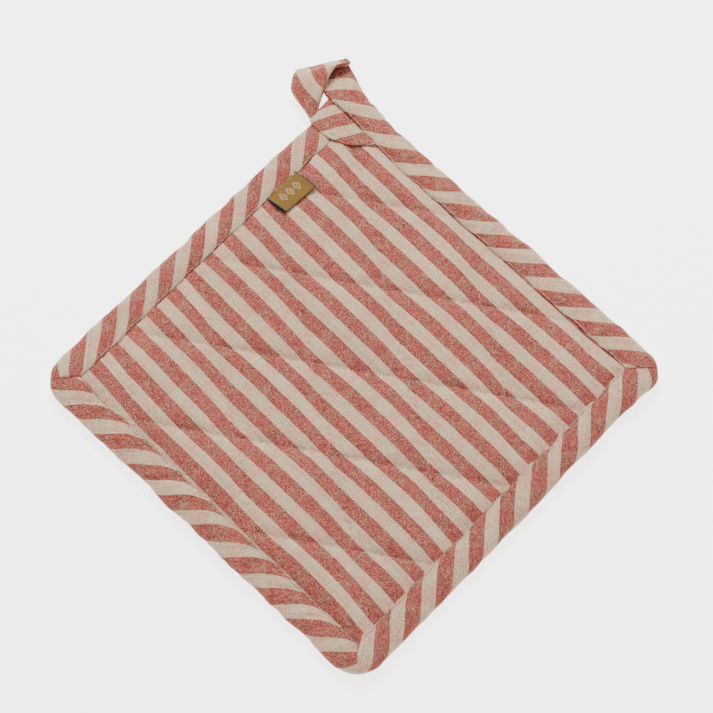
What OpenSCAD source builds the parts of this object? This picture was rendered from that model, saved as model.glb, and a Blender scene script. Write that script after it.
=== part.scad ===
// Square quilted pot holder lying on its back, with a bias-cut edge binding,
// a hanging loop at one corner and a small folded side label.
// Millimetres. +Z is up, away from the surface it lies on. The origin is the
// middle of the back face. +X and +Y run along the sides; the loop leaves the
// +X +Y corner and the stripes of the cloth run along Y.

/* [Pad] */
// Overall side of the square pad, measured over its binding
pad_side = 200; // [180:5:230]
// Thickness in the middle of the pad
pad_t = 9; // [8.5:0.5:12]
// Thickness at the bound edge
edge_t = 7.5; // [7:0.1:7.8]
// Radius of the pad's corners seen from above
corner_r = 6; // [5:0.5:10]
// Width of the slope from the bound edge up to the full thickness
slope_w = 14; // [10:1:20]
// Height of the joint between the back and the front wadding
split_z = 4; // [3.5:0.1:4.5]

/* [Cloth] */
// Thickness of the woven front and back cloths
cloth_t = 0.5; // [0.4:0.05:0.6]
// Thickness of the binding with its turned hem
binding_t = 0.8; // [0.6:0.05:1]
// Width of the binding on each face
binding_w = 14; // [12:0.5:17]

/* [Quilting] */
// Width of one quilted diamond, along X
diamond_w = 48.7; // [40:0.1:60]
// Length of one quilted diamond, along Y
diamond_l = 73.6; // [60:0.1:90]
// X of the stitch crossing nearest the middle
cross_x = -9.8; // [-20:0.1:20]
// Y of the stitch crossing nearest the middle
cross_y = 16.7; // [-30:0.1:30]
// Depth of the quilted valleys, to the thread
valley_d = 0.8; // [0.6:0.1:1]
// Width of the valleys on the front
valley_w = 3; // [2:0.1:4]
// Width of the valleys on the back
back_valley_w = 1.4; // [1.2:0.1:1.5]

/* [Threads] */
// Width of a sewn thread line
thread_w = 0.6; // [0.4:0.1:0.8]
// Height of a sewn thread line
thread_t = 0.4; // [0.3:0.1:0.5]
// Distance of the topstitching from the binding's inner edge
topstitch_in = 1.2; // [1:0.1:2]

/* [Hanging loop] */
// Thickness of the loop, two legs of the folded strip
loop_t = 2.6; // [2:0.1:3]
// How far the loop hangs below level at rest, degrees
loop_droop = 4.8; // [3:0.1:4.8]

/* [Side label] */
// Width of the folded label, along the edge
label_w = 19.4; // [15:0.1:24]
// Length of the label that shows beyond the binding
label_l = 11.6; // [9:0.1:14]
// Thickness of the folded label, two layers
label_t = 0.9; // [0.6:0.1:1]
// X of the middle of the label
label_x = 42.4; // [30:0.1:50]

/* [Hidden] */
half = pad_side / 2;                 // centre to outer edge
inner = half - binding_w;            // centre to the binding's inner edge
layer_half = half - 4.5;             // centre to the raw edges inside the binding
low_z = binding_t;                   // back cloth under the back flange
high_z = edge_t - binding_t;         // front cloth under the front flange
nose_r = edge_t / 2;                 // radius of the rolled outer edge
straight = half - corner_r;          // centre to the start of a corner
wall = 0.5;                          // cloth thickness beside a valley
clear = 0.3;                         // gap between pieces that move apart
slope_a = atan((pad_t - high_z) / slope_w);
slope_k = diamond_l / diamond_w;
$fn = 48;

// Height against distance from the middle: td down from the front face and
// bd up from the back face, out to h on both sides.
function outline(td, bd, h) = [
    [-h, low_z + bd], [-inner, low_z + bd], [slope_w - inner, bd],
    [inner - slope_w, bd], [inner, low_z + bd], [h, low_z + bd],
    [h, high_z - td], [inner, high_z - td], [inner - slope_w, pad_t - td],
    [slope_w - inner, pad_t - td], [-inner, high_z - td], [-h, high_z - td]
];

// The layered pad between two offsets of its front and back faces.
module bulk(td, bd, h) {
    intersection() {
        rotate([90, 0, 0])
            linear_extrude(height = 2 * h, center = true)
                polygon(outline(td, bd, h));
        rotate([90, 0, 90])
            linear_extrude(height = 2 * h, center = true)
                polygon(outline(td, bd, h));
    }
}

// The diamond cross-hatch of stitch lines as upright bars of width w, kept
// inside a square of half side h.
module quilt_bars(w, h) {
    translate([0, 0, -5])
        linear_extrude(height = 25)
            intersection() {
                square(2 * h, center = true);
                translate([cross_x, cross_y])
                    for (i = [-4:4], s = [-1, 1])
                        translate([i * diamond_w, 0])
                            rotate(s * atan(slope_k))
                                square([6 * half, w], center = true);
            }
}

// Striped cotton cloth of the front, dipping along the stitch lines.
module front_panel() {
    color([0.78, 0.42, 0.38])
        difference() {
            bulk(0, 0, layer_half);
            difference() {
                bulk(cloth_t, -1, layer_half + 1);
                quilt_bars(valley_w + 2 * wall, inner);
            }
            bulk(valley_d + cloth_t, -1, layer_half + 1);
            difference() {
                quilt_bars(valley_w, inner - wall);
                bulk(valley_d, -8, layer_half + 1);
            }
        }
}

// Striped cotton cloth of the back.
module back_panel() {
    color([0.78, 0.42, 0.38])
        difference() {
            bulk(0, 0, layer_half);
            difference() {
                bulk(-1, cloth_t, layer_half + 1);
                quilt_bars(back_valley_w + 2 * wall, inner);
            }
            bulk(-1, valley_d + cloth_t, layer_half + 1);
            difference() {
                quilt_bars(back_valley_w, inner - wall);
                bulk(-12, valley_d, layer_half + 1);
            }
        }
}

// Upper layer of wadding, under the front cloth.
module front_wadding() {
    color([0.93, 0.91, 0.86])
        difference() {
            intersection() {
                bulk(cloth_t, 0, layer_half);
                translate([-half, -half, split_z]) cube([pad_side, pad_side, 20]);
            }
            difference() {
                quilt_bars(valley_w + 2 * wall, inner);
                bulk(valley_d + cloth_t, -8, layer_half + 1);
            }
        }
}

// Lower layer of wadding, on the back cloth.
module back_wadding() {
    color([0.93, 0.91, 0.86])
        difference() {
            intersection() {
                bulk(0, cloth_t, layer_half);
                translate([-half, -half, split_z - 20]) cube([pad_side, pad_side, 20]);
            }
            difference() {
                quilt_bars(back_valley_w + 2 * wall, inner);
                bulk(-12, valley_d + cloth_t, layer_half + 1);
            }
        }
}

// Half ring of binding cloth round the pad's edge, with short tails that run
// into the flanges.
module nose_outline() {
    difference() {
        union() {
            intersection() {
                circle(r = nose_r);
                translate([0, -nose_r]) square([nose_r, 2 * nose_r]);
            }
            translate([-0.5, -nose_r]) square([0.5, 2 * nose_r]);
        }
        circle(r = nose_r - binding_t);
        translate([-1, binding_t - nose_r])
            square([1, 2 * (nose_r - binding_t)]);
    }
}

// Seen from above, a square of half side h with corners of radius r.
module rounded_square(h, r) {
    union() {
        square([2 * h, 2 * (h - r)], center = true);
        square([2 * (h - r), 2 * h], center = true);
        for (x = [-1, 1], y = [-1, 1])
            translate([x * (h - r), y * (h - r)]) circle(r = r);
    }
}

// Flat part of the binding on one face.
module flange(z) {
    translate([0, 0, z])
        linear_extrude(height = binding_t)
            difference() {
                rounded_square(half - nose_r, corner_r - nose_r);
                square(2 * inner, center = true);
            }
}

// Square ring of half side h, w wide and t high, standing at z.
module square_ring(h, w, z, t) {
    translate([0, 0, z])
        linear_extrude(height = t)
            difference() {
                square(2 * h + w, center = true);
                square(2 * h - w, center = true);
            }
}

// One bias strip round all four sides: a flange on each face, the rolled edge
// between them, and the strip's turned-down start beside the loop.
module edge_binding() {
    color([0.80, 0.48, 0.43])
        difference() {
            union() {
                flange(0);
                flange(edge_t - binding_t);
                for (a = [0:90:270])
                    rotate(a) {
                        translate([half - nose_r, 0, nose_r])
                            rotate([90, 0, 0])
                                linear_extrude(height = 2 * straight, center = true)
                                    nose_outline();
                        translate([straight, straight, nose_r])
                            rotate_extrude(angle = 90)
                                translate([corner_r - nose_r, 0])
                                    nose_outline();
                    }
                difference() {
                    intersection() {
                        bulk(-binding_t, -8, half - nose_r);
                        linear_extrude(height = 25)
                            polygon([
                                [half - 25, inner + 0.3],
                                [half - 22, inner - 7],
                                [half - 18, inner - 12.5],
                                [half - 13.7, inner - 16],
                                [half - 13.7, inner + 0.3]
                            ]);
                    }
                    bulk(0, -9, half);
                }
            }
            square_ring(inner + topstitch_in, thread_w + 0.2, edge_t - 0.3, 1);
            square_ring(inner + topstitch_in, thread_w + 0.2, -1, 1.4);
        }
}

// Needle thread of the quilting, on the front.
module quilting_needle_thread() {
    color([0.90, 0.85, 0.78])
        difference() {
            intersection() {
                bulk(valley_d - thread_t, -8, inner);
                quilt_bars(thread_w, inner - 1);
            }
            bulk(valley_d, -9, half);
        }
}

// Bobbin thread of the quilting, on the back.
module quilting_bobbin_thread() {
    color([0.90, 0.85, 0.78])
        difference() {
            intersection() {
                bulk(-12, valley_d - thread_t, inner);
                quilt_bars(thread_w, inner - 1);
            }
            bulk(-13, valley_d, half);
        }
}

// Topstitching that holds the binding, on the front.
module binding_needle_thread() {
    color([0.90, 0.85, 0.78])
        square_ring(inner + topstitch_in, thread_w, edge_t - 0.3, 0.3 + thread_t / 4);
}

// Topstitching that holds the binding, on the back.
module binding_bobbin_thread() {
    color([0.90, 0.85, 0.78])
        square_ring(inner + topstitch_in, thread_w, 0.1, 0.3);
}

// Short stitches that hold the loop's returning leg under the binding.
module loop_tack_stitches() {
    color([0.90, 0.85, 0.78])
        for (p = [[78, 92, 20], [81.6, 91, 20], [85, 93.4, 20]])
            translate([p[0] - 100 + half, p[1] - 100 + half, edge_t])
                rotate(p[2])
                    translate([-1.3, -thread_w / 2, 0])
                        cube([2.6, thread_w, thread_t]);
}

// The strip's end folded into a loop: its back leg runs on from the +X side,
// folds over, and comes back to the +Y side. The eye is open to the pad's edge.
module hanging_loop() {
    root = nose_r + clear;               // distance of the feet from the hinge
    o = half - 100;                      // follows the corner
    h = half - nose_r;                   // the hinge runs along the rolled edge
    color([0.80, 0.48, 0.43])
        translate([0, h, nose_r])
            rotate([-loop_droop, 0, 0])
                translate([0, 0, -loop_t / 2])
                    linear_extrude(height = loop_t)
                        polygon([
                            [75.6 + o, root], [79.6 + o, 21.4], [91.8 + o, 27.2],
                            [109.4 + o, 15.9], [108.4 + o, 10.7],
                            [105.6 + o, root], [90.6 + o, root],
                            [91.6 + o, 9], [91 + o, 12.2], [85 + o, 12.2],
                            [83.2 + o, root]
                        ]);
}

// Small folded label of woven ribbon, held by the binding's inner edge and
// lying on the slope of the front cloth.
module side_label() {
    color([0.66, 0.50, 0.27])
        translate([label_x, inner - clear, high_z + clear + 0.05])
            rotate([-slope_a, 0, 0])
                translate([-label_w / 2, -label_l, 0])
                    cube([label_w, label_l, label_t]);
}

front_panel();
back_panel();
front_wadding();
back_wadding();
edge_binding();
quilting_needle_thread();
quilting_bobbin_thread();
binding_needle_thread();
binding_bobbin_thread();
loop_tack_stitches();
hanging_loop();
side_label();
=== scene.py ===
"""Looks of the square quilted pot holder: striped cotton cloths, bias binding with its
hanging loop, wadding, sewing threads and a folded side label. Lengths inside are in mm
and become metres when a mesh is made."""
import math

import bpy
import numpy as np
from mathutils import Matrix, Vector


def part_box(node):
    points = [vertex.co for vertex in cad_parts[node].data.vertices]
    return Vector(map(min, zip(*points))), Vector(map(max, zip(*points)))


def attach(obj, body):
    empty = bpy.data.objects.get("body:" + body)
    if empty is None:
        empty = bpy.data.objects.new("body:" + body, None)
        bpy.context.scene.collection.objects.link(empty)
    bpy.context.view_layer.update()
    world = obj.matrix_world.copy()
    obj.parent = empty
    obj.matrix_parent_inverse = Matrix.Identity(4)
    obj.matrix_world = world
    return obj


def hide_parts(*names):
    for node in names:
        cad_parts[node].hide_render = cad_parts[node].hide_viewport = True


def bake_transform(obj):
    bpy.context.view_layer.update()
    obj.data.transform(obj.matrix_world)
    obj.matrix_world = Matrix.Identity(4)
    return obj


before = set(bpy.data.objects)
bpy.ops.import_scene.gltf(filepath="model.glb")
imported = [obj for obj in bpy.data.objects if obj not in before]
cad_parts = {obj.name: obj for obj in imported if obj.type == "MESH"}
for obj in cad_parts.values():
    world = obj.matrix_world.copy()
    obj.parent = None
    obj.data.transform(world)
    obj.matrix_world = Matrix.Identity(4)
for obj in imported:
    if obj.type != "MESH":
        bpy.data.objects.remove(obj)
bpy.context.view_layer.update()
MM = 0.001

# ---------------------------------------------------------------- sizes, mm
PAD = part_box("edge_binding")
HALF = 0.5 * (PAD[1][0] - PAD[0][0]) / MM          # 100
INNER = HALF - 14.0                                # binding's inner edge
DW, DL, CX, CY = 48.7, 73.6, -9.8, 16.7            # quilted diamonds and a crossing
LINE_GAP = DL * math.cos(math.atan(DL / DW))       # between parallel stitch lines
REPEAT = 12.24                                     # stripe repeat
NS = 28                                            # lattice cells along a diamond's side
PITCH = 2 * math.hypot(DW / 2, DL / 2) / NS        # quilting stitch
TOP_PITCH = 2.75                                   # topstitch


# ---------------------------------------------------------------- helpers
def field(scale, seed, n=28, spread=0.35, angle=None, fan=math.pi):
    """A smooth random field of about unit size with wavelengths near scale, mm."""
    r = np.random.default_rng(seed)
    k = 2 * math.pi / (scale * (1 + spread * r.uniform(-1, 1, n)))
    a = (r.uniform(-fan, fan, n) / 2 + angle) if angle is not None else r.uniform(0, 2 * math.pi, n)
    ph = r.uniform(0, 2 * math.pi, n)
    kx, ky = k * np.cos(a), k * np.sin(a)

    def at(x, y):
        x, y = np.asarray(x, float), np.asarray(y, float)
        out = np.zeros(np.broadcast(x, y).shape)
        for i in range(n):
            out += np.sin(kx[i] * x + ky[i] * y + ph[i])
        return out * math.sqrt(2.0 / n)

    return at


def smooth(a, b, x):
    t = np.clip((np.asarray(x, float) - a) / (b - a), 0, 1)
    return t * t * (3 - 2 * t)


def spline(points, n, closed=False):
    """n points evenly spaced in parameter along a Catmull-Rom curve."""
    p = np.asarray(points, float)
    ext = np.vstack([2 * p[0] - p[1], p, 2 * p[-1] - p[-2]])
    u = np.linspace(0, len(p) - 1, n)
    i = np.clip(u.astype(int), 0, len(p) - 2)
    t = (u - i)[:, None]
    a, b, c, d = ext[i], ext[i + 1], ext[i + 2], ext[i + 3]
    return 0.5 * (2 * b + (c - a) * t + (2 * a - 5 * b + 4 * c - d) * t ** 2 + (3 * b - a - 3 * c + d) * t ** 3)


def even(points, n, knots=None):
    """n points evenly spaced along the length of a smooth curve through points."""
    fine = spline(points, 40 * len(points))
    along = np.concatenate([[0], np.cumsum(np.linalg.norm(np.diff(fine, axis=0), axis=1))])
    at = np.linspace(0, along[-1], n)
    return np.stack([np.interp(at, along, fine[:, k]) for k in range(fine.shape[1])], 1)


def grid_faces(rows, cols, flip=False):
    i = np.arange(rows * cols).reshape(rows, cols)
    f = np.stack([i[:-1, :-1], i[:-1, 1:], i[1:, 1:], i[1:, :-1]], -1).reshape(-1, 4)
    return f[:, ::-1] if flip else f


def make(name, verts, faces, material, uv=None, uv2=None, is_smooth=True):
    """A mesh object from mm coordinates, with its cloth coordinates as a UV layer."""
    me = bpy.data.meshes.new(name)
    me.from_pydata((np.asarray(verts, float) * MM).tolist(), [], [list(map(int, f)) for f in faces])
    if uv is not None:
        loops = np.zeros(len(me.loops), np.int32)
        me.loops.foreach_get("vertex_index", loops)
        layer = me.uv_layers.new(name="cloth")
        layer.data.foreach_set("uv", np.asarray(uv, np.float32)[loops].ravel())
    if is_smooth:
        me.polygons.foreach_set("use_smooth", np.ones(len(me.polygons), bool))
    me.materials.append(material)
    me.validate()
    ob = bpy.data.objects.new(name, me)
    bpy.context.scene.collection.objects.link(ob)
    return ob


def baked(ob):
    """Replaces an object's mesh by what its modifiers make, and removes them."""
    dg = bpy.context.evaluated_depsgraph_get()
    new = bpy.data.meshes.new_from_object(ob.evaluated_get(dg), preserve_all_data_layers=True, depsgraph=dg)
    old = ob.data
    ob.modifiers.clear()
    ob.data = new
    bpy.data.meshes.remove(old)
    return ob


# ---------------------------------------------------------------- materials
class Tree:
    """A short way to write shader nodes."""

    def __init__(self, name):
        self.mat = bpy.data.materials.new(name)
        self.mat.use_nodes = True
        self.t = self.mat.node_tree
        self.t.nodes.clear()
        self.out = self.t.nodes.new("ShaderNodeOutputMaterial")
        self.bsdf = self.t.nodes.new("ShaderNodeBsdfPrincipled")
        self.t.links.new(self.bsdf.outputs[0], self.out.inputs[0])

    def put(self, socket, value):
        if isinstance(value, bpy.types.NodeSocket):
            self.t.links.new(value, socket)
        elif value is not None:
            socket.default_value = value

    def math(self, op, a, b=None, c=None, clamp=False):
        n = self.t.nodes.new("ShaderNodeMath")
        n.operation, n.use_clamp = op, clamp
        for i, v in enumerate((a, b, c)):
            if v is not None:
                self.put(n.inputs[i], v)
        return n.outputs[0]

    def uv(self, layer="cloth"):
        n = self.t.nodes.new("ShaderNodeUVMap")
        n.uv_map = layer
        s = self.t.nodes.new("ShaderNodeSeparateXYZ")
        self.t.links.new(n.outputs[0], s.inputs[0])
        return s.outputs[0], s.outputs[1]

    def join(self, x, y, z=0.0):
        n = self.t.nodes.new("ShaderNodeCombineXYZ")
        for i, v in enumerate((x, y, z)):
            self.put(n.inputs[i], v)
        return n.outputs[0]

    def noise(self, vector, scale=1.0, detail=2.0, rough=0.5):
        n = self.t.nodes.new("ShaderNodeTexNoise")
        self.put(n.inputs["Vector"], vector)
        n.inputs["Scale"].default_value = scale
        n.inputs["Detail"].default_value = detail
        n.inputs["Roughness"].default_value = rough
        return n.outputs[0]

    def cell(self, vector):
        """A number from 0 to 1 that is the same over one whole cell."""
        n = self.t.nodes.new("ShaderNodeTexWhiteNoise")
        n.noise_dimensions = "3D"
        self.put(n.inputs["Vector"], vector)
        return n.outputs[0]

    def mix(self, fac, a, b):
        n = self.t.nodes.new("ShaderNodeMix")
        n.data_type = "RGBA"
        self.put(n.inputs[0], fac)
        for s, v in ((n.inputs[6], a), (n.inputs[7], b)):
            if isinstance(v, (tuple, list)):
                v = (*v[:3], 1.0)
            self.put(s, v)
        return n.outputs[2]

    def scale(self, colour, factor):
        n = self.t.nodes.new("ShaderNodeVectorMath")
        n.operation = "SCALE"
        self.put(n.inputs[0], colour)
        self.put(n.inputs["Scale"], factor)
        return n.outputs[0]

    def ramp(self, x, a, b, lo=0.0, hi=1.0):
        n = self.t.nodes.new("ShaderNodeMapRange")
        n.interpolation_type = "SMOOTHSTEP"
        for i, v in enumerate((x, a, b, lo, hi)):
            self.put(n.inputs[i], v)
        return n.outputs[0]

    def bump(self, height, distance, strength=1.0, normal=None):
        n = self.t.nodes.new("ShaderNodeBump")
        n.inputs["Strength"].default_value = strength
        n.inputs["Distance"].default_value = distance
        self.put(n.inputs["Height"], height)
        if normal is not None:
            self.put(n.inputs["Normal"], normal)
        return n.outputs[0]


RED = (0.292, 0.066, 0.052)
RED_2 = (0.236, 0.046, 0.036)
CREAM = (0.600, 0.437, 0.290)
CREAM_2 = (0.510, 0.364, 0.243)
PINK = (0.660, 0.262, 0.205)
WARP, WEFT = 0.37, 0.36                            # yarn spacing, mm
WEFT_REPEAT = 13.85


def striped_cotton(name, bump_mm=0.10, red_share=0.525):
    """Plain weave from cloth coordinates in mm: x across the stripes, y along them.
    red_share is the red stripe's part of the repeat."""
    m = Tree(name)
    p0, q0 = m.uv()
    slow = m.join(m.math("MULTIPLY", p0, 0.035), m.math("MULTIPLY", q0, 0.035), 3.1)
    w1 = m.math("SUBTRACT", m.noise(slow, 5.0, 2.0), 0.5)
    w2 = m.math("SUBTRACT", m.noise(m.join(m.math("MULTIPLY", p0, 0.05), m.math("MULTIPLY", q0, 0.05), 9.4), 5.0, 2.0), 0.5)
    p = m.math("ADD", p0, m.math("MULTIPLY", w1, 0.55))
    q = m.math("ADD", q0, m.math("MULTIPLY", w2, 0.75))
    u, v = m.math("DIVIDE", p, WARP), m.math("DIVIDE", q, WEFT)
    i, j = m.math("FLOOR", u), m.math("FLOOR", v)
    fu, fv = m.math("FRACT", u), m.math("FRACT", v)
    over = m.math("FLOORED_MODULO", m.math("ADD", i, j), 2.0)       # 1 where the weft is on top
    # colours of this warp end and this pick
    at = m.math("FRACT", m.math("ADD", m.math("DIVIDE", m.math("MULTIPLY", m.math("ADD", i, 0.5), WARP), REPEAT), 0.5))
    dist = m.math("ABSOLUTE", m.math("SUBTRACT", at, 0.5))
    is_red = m.math("LESS_THAN", dist, red_share / 2)
    band_at = m.math("FRACT", m.math("DIVIDE", m.math("MULTIPLY", m.math("ADD", j, 0.5), WEFT), WEFT_REPEAT))
    band = m.math("MULTIPLY", m.ramp(band_at, 0.02, 0.10), m.ramp(band_at, 0.60, 0.48))
    # uneven dye along each yarn
    along_warp = m.noise(m.join(m.math("MULTIPLY", i, 7.31), m.math("MULTIPLY", q, 0.30), 1.7), 1.0, 3.0, 0.6)
    along_weft = m.noise(m.join(m.math("MULTIPLY", p, 0.30), m.math("MULTIPLY", j, 5.77), 4.2), 1.0, 3.0, 0.6)
    end_tint = m.cell(m.join(i, 0.5, 0.5))
    red = m.mix(m.ramp(along_warp, 0.30, 0.70), RED_2, RED)
    cream = m.mix(m.ramp(along_warp, 0.30, 0.68), CREAM_2, CREAM)
    warp = m.mix(is_red, cream, red)
    warp = m.scale(warp, m.math("MULTIPLY_ADD", end_tint, 0.30, 0.85))
    weft_cream = m.mix(m.ramp(along_weft, 0.30, 0.70), CREAM_2, CREAM)
    weft = m.mix(band, weft_cream, PINK)
    weft = m.scale(weft, m.math("MULTIPLY_ADD", m.cell(m.join(0.5, j, 7.5)), 0.30, 0.85))
    weft = m.mix(m.math("MULTIPLY", is_red, 0.36), weft, red)       # a pale pick sinks between red ends
    # how much of the pick shows between the ends
    span = m.math("ABSOLUTE", m.math("SUBTRACT", fv, 0.5))
    reach = m.math("MULTIPLY_ADD", m.cell(m.join(i, j, 2.5)), 0.50, -0.04)
    reach = m.math("MULTIPLY", reach, m.math("MULTIPLY_ADD", is_red, -1.0, 2.0))
    shows = m.math("MULTIPLY", over, m.math("LESS_THAN", span, reach))
    colour = m.mix(shows, warp, weft)
    # relief: each yarn is round and rides over its neighbour; the colour is also scaled by it below, as painted shade
    # toward each yarn's edges
    su, sv = m.math("SINE", m.math("MULTIPLY", fu, math.pi)), m.math("SINE", m.math("MULTIPLY", fv, math.pi))
    relief = m.math("POWER", m.math("MULTIPLY", m.math("POWER", su, 0.8), m.math("MULTIPLY_ADD", sv, 0.7, 0.3)), 0.8)
    slub = m.noise(m.join(m.math("MULTIPLY", p, 0.9), m.math("MULTIPLY", q, 0.22), 6.5), 1.0, 3.0, 0.55)
    height = m.math("MULTIPLY_ADD", relief, 0.75, m.math("MULTIPLY", slub, 0.5))
    # painted shade: the colour is darker where each yarn curves away, lighter on its crown
    shade = m.math("MULTIPLY_ADD", relief, 0.60, 0.64)
    mottle = m.noise(m.join(m.math("MULTIPLY", p, 2.3), m.math("MULTIPLY", q, 1.9), 5.1), 1.0, 1.0, 0.5)
    shade = m.math("MULTIPLY", shade, m.math("MULTIPLY_ADD", mottle, 1.70, 0.15))
    # each float of yarn, two picks long, takes the light a little differently
    nub = m.cell(m.join(i, m.math("FLOOR", m.math("MULTIPLY", m.math("ADD", i, j), 0.5)), 4.5))
    nub_share = m.math("MULTIPLY_ADD", is_red, 0.38, 0.22)
    shade = m.math("MULTIPLY", shade, m.math("MULTIPLY_ADD", m.math("SUBTRACT", nub, 0.5), nub_share, 1.0))
    cloud = m.noise(m.join(m.math("MULTIPLY", p0, 0.06), m.math("MULTIPLY", q0, 0.05), 0.3), 1.0, 3.0, 0.55)
    shade = m.math("MULTIPLY", shade, m.math("MULTIPLY_ADD", cloud, 0.22, 0.89))
    # small dark seed flecks and pale lint
    fleck = m.noise(m.join(m.math("MULTIPLY", p, 1.0), m.math("MULTIPLY", q, 1.0), 8.8), 1.15, 1.0)
    shade = m.math("MULTIPLY", shade, m.ramp(fleck, 0.215, 0.26, 0.62, 1.0))
    m.put(m.bsdf.inputs["Base Color"], m.scale(colour, shade))
    m.put(m.bsdf.inputs["Roughness"], m.math("MULTIPLY_ADD", slub, 0.16, 0.80))
    m.bsdf.inputs["Specular IOR Level"].default_value = 0.10
    m.bsdf.inputs["Sheen Weight"].default_value = 0.05
    m.bsdf.inputs["Sheen Roughness"].default_value = 0.55
    m.bsdf.inputs["Sheen Tint"].default_value = (1.0, 0.93, 0.88, 1.0)
    m.put(m.bsdf.inputs["Normal"], m.bump(height, bump_mm * MM, 0.9))
    return m.mat


def sewing_thread(name):
    """Two-ply cream thread: x runs round the thread, y along it, in mm."""
    m = Tree(name)
    a, s = m.uv()
    # painted shade: where the thread goes into the cloth its ends are coloured near black, the shade of the needle
    # holes
    needle_hole_shade = m.ramp(a, 3.0, 8.5)                      # 1 where the thread goes through the cloth
    a = m.math("FRACT", a)
    twist = m.math("SINE", m.math("ADD", m.math("MULTIPLY", s, 9.0), m.math("MULTIPLY", a, 2 * math.pi)))
    fuzz = m.noise(m.join(a, m.math("MULTIPLY", s, 2.0), 0.7), 6.0, 3.0)
    # painted shade: the grooves of the two-ply twist are darkened in the colour
    shade = m.math("MULTIPLY_ADD", twist, 0.12, 0.88)
    colour = m.mix(fuzz, (0.44, 0.31, 0.22), (0.60, 0.44, 0.33))
    colour = m.mix(needle_hole_shade, colour, (0.085, 0.034, 0.022))
    m.put(m.bsdf.inputs["Base Color"], m.scale(colour, shade))
    m.put(m.bsdf.inputs["Roughness"], m.math("MULTIPLY_ADD", fuzz, 0.2, 0.6))
    m.bsdf.inputs["Sheen Weight"].default_value = 0.2
    m.put(m.bsdf.inputs["Normal"], m.bump(twist, 0.00005, 0.8))
    return m.mat


def wadding(name):
    """Matted fibres, from the piece's own coordinates."""
    m = Tree(name)
    n = m.t.nodes.new("ShaderNodeTexCoord")
    big = m.noise(n.outputs["Object"], 160.0, 4.0, 0.65)
    fine = m.noise(n.outputs["Object"], 1400.0, 4.0, 0.7)
    m.put(m.bsdf.inputs["Base Color"], m.mix(m.ramp(big, 0.3, 0.7), (0.60, 0.56, 0.49), (0.74, 0.71, 0.65)))
    m.put(m.bsdf.inputs["Roughness"], m.math("MULTIPLY_ADD", fine, 0.1, 0.88))
    m.bsdf.inputs["Sheen Weight"].default_value = 0.4
    m.put(m.bsdf.inputs["Normal"], m.bump(m.math("MULTIPLY_ADD", fine, 0.5, big), 0.0006, 0.8))
    return m.mat


def label_ribbon(name):
    """Damask ribbon: x along the edge 0 to 19, y out from the seam 0 to 12, in mm.
    Mustard ground, charcoal selvedges and a row of small woven lozenges."""
    m = Tree(name)
    x, y = m.uv()
    i, j = m.math("FLOOR", m.math("DIVIDE", x, 0.21)), m.math("FLOOR", m.math("DIVIDE", y, 0.26))
    fu, fv = m.math("FRACT", m.math("DIVIDE", x, 0.21)), m.math("FRACT", m.math("DIVIDE", y, 0.26))
    grain = m.cell(m.join(i, j, 0.5))
    cloud = m.noise(m.join(m.math("MULTIPLY", x, 0.25), m.math("MULTIPLY", y, 0.25), 0.4), 1.0, 3.0)
    ground = m.mix(m.math("MULTIPLY_ADD", grain, 0.5, m.math("MULTIPLY", cloud, 0.5)), (0.134, 0.065, 0.010), (0.232, 0.119, 0.022))
    # lozenges, stepped to the weave
    xs, ys = m.math("MULTIPLY", m.math("ADD", i, 0.5), 0.21), m.math("MULTIPLY", m.math("ADD", j, 0.5), 0.26)
    cell = m.math("SUBTRACT", m.math("FRACT", m.math("DIVIDE", m.math("SUBTRACT", xs, 3.2), 4.2)), 0.5)
    dx = m.math("MULTIPLY", m.math("ABSOLUTE", cell), 4.2)
    dy = m.math("ABSOLUTE", m.math("SUBTRACT", ys, 5.6))
    loz = m.math("ADD", m.math("MULTIPLY", dx, 1.15), m.math("MULTIPLY", dy, 0.72))
    ring = m.math("MULTIPLY", m.math("LESS_THAN", loz, 2.0), m.math("GREATER_THAN", loz, 1.25))
    heart = m.math("LESS_THAN", loz, 0.5)
    inside = m.math("MULTIPLY", m.math("GREATER_THAN", xs, 3.2), m.math("LESS_THAN", xs, 15.8))
    motif = m.math("MULTIPLY", m.math("MAXIMUM", ring, heart), inside)
    colour = m.mix(m.math("MULTIPLY", motif, 0.72), ground, (0.45, 0.31, 0.23))
    edge = m.math("MINIMUM", x, m.math("SUBTRACT", 19.2, x))
    colour = m.mix(m.math("LESS_THAN", edge, 0.60), colour, (0.022, 0.025, 0.026))
    # painted shade: the ribs darken the colour between the round yarns, and they also give the bump
    ribs = m.math("MULTIPLY", m.math("SINE", m.math("MULTIPLY", fu, math.pi)), m.math("MULTIPLY_ADD", m.math("SINE", m.math("MULTIPLY", fv, math.pi)), 0.5, 0.5))
    m.put(m.bsdf.inputs["Base Color"], m.scale(colour, m.math("MULTIPLY_ADD", ribs, 0.30, 0.80)))
    m.put(m.bsdf.inputs["Roughness"], m.math("MULTIPLY_ADD", grain, 0.2, 0.6))
    m.bsdf.inputs["Specular IOR Level"].default_value = 0.22
    m.bsdf.inputs["Sheen Weight"].default_value = 0.05
    m.put(m.bsdf.inputs["Normal"], m.bump(m.math("MULTIPLY_ADD", motif, 0.6, ribs), 0.00006, 0.8))
    return m.mat


COTTON = striped_cotton("striped_cotton")
BIAS = striped_cotton("bias_cotton", 0.13, 0.53)
THREAD = sewing_thread("cream_thread")
FILL = wadding("cotton_wadding")
RIBBON = label_ribbon("label_ribbon")


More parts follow.
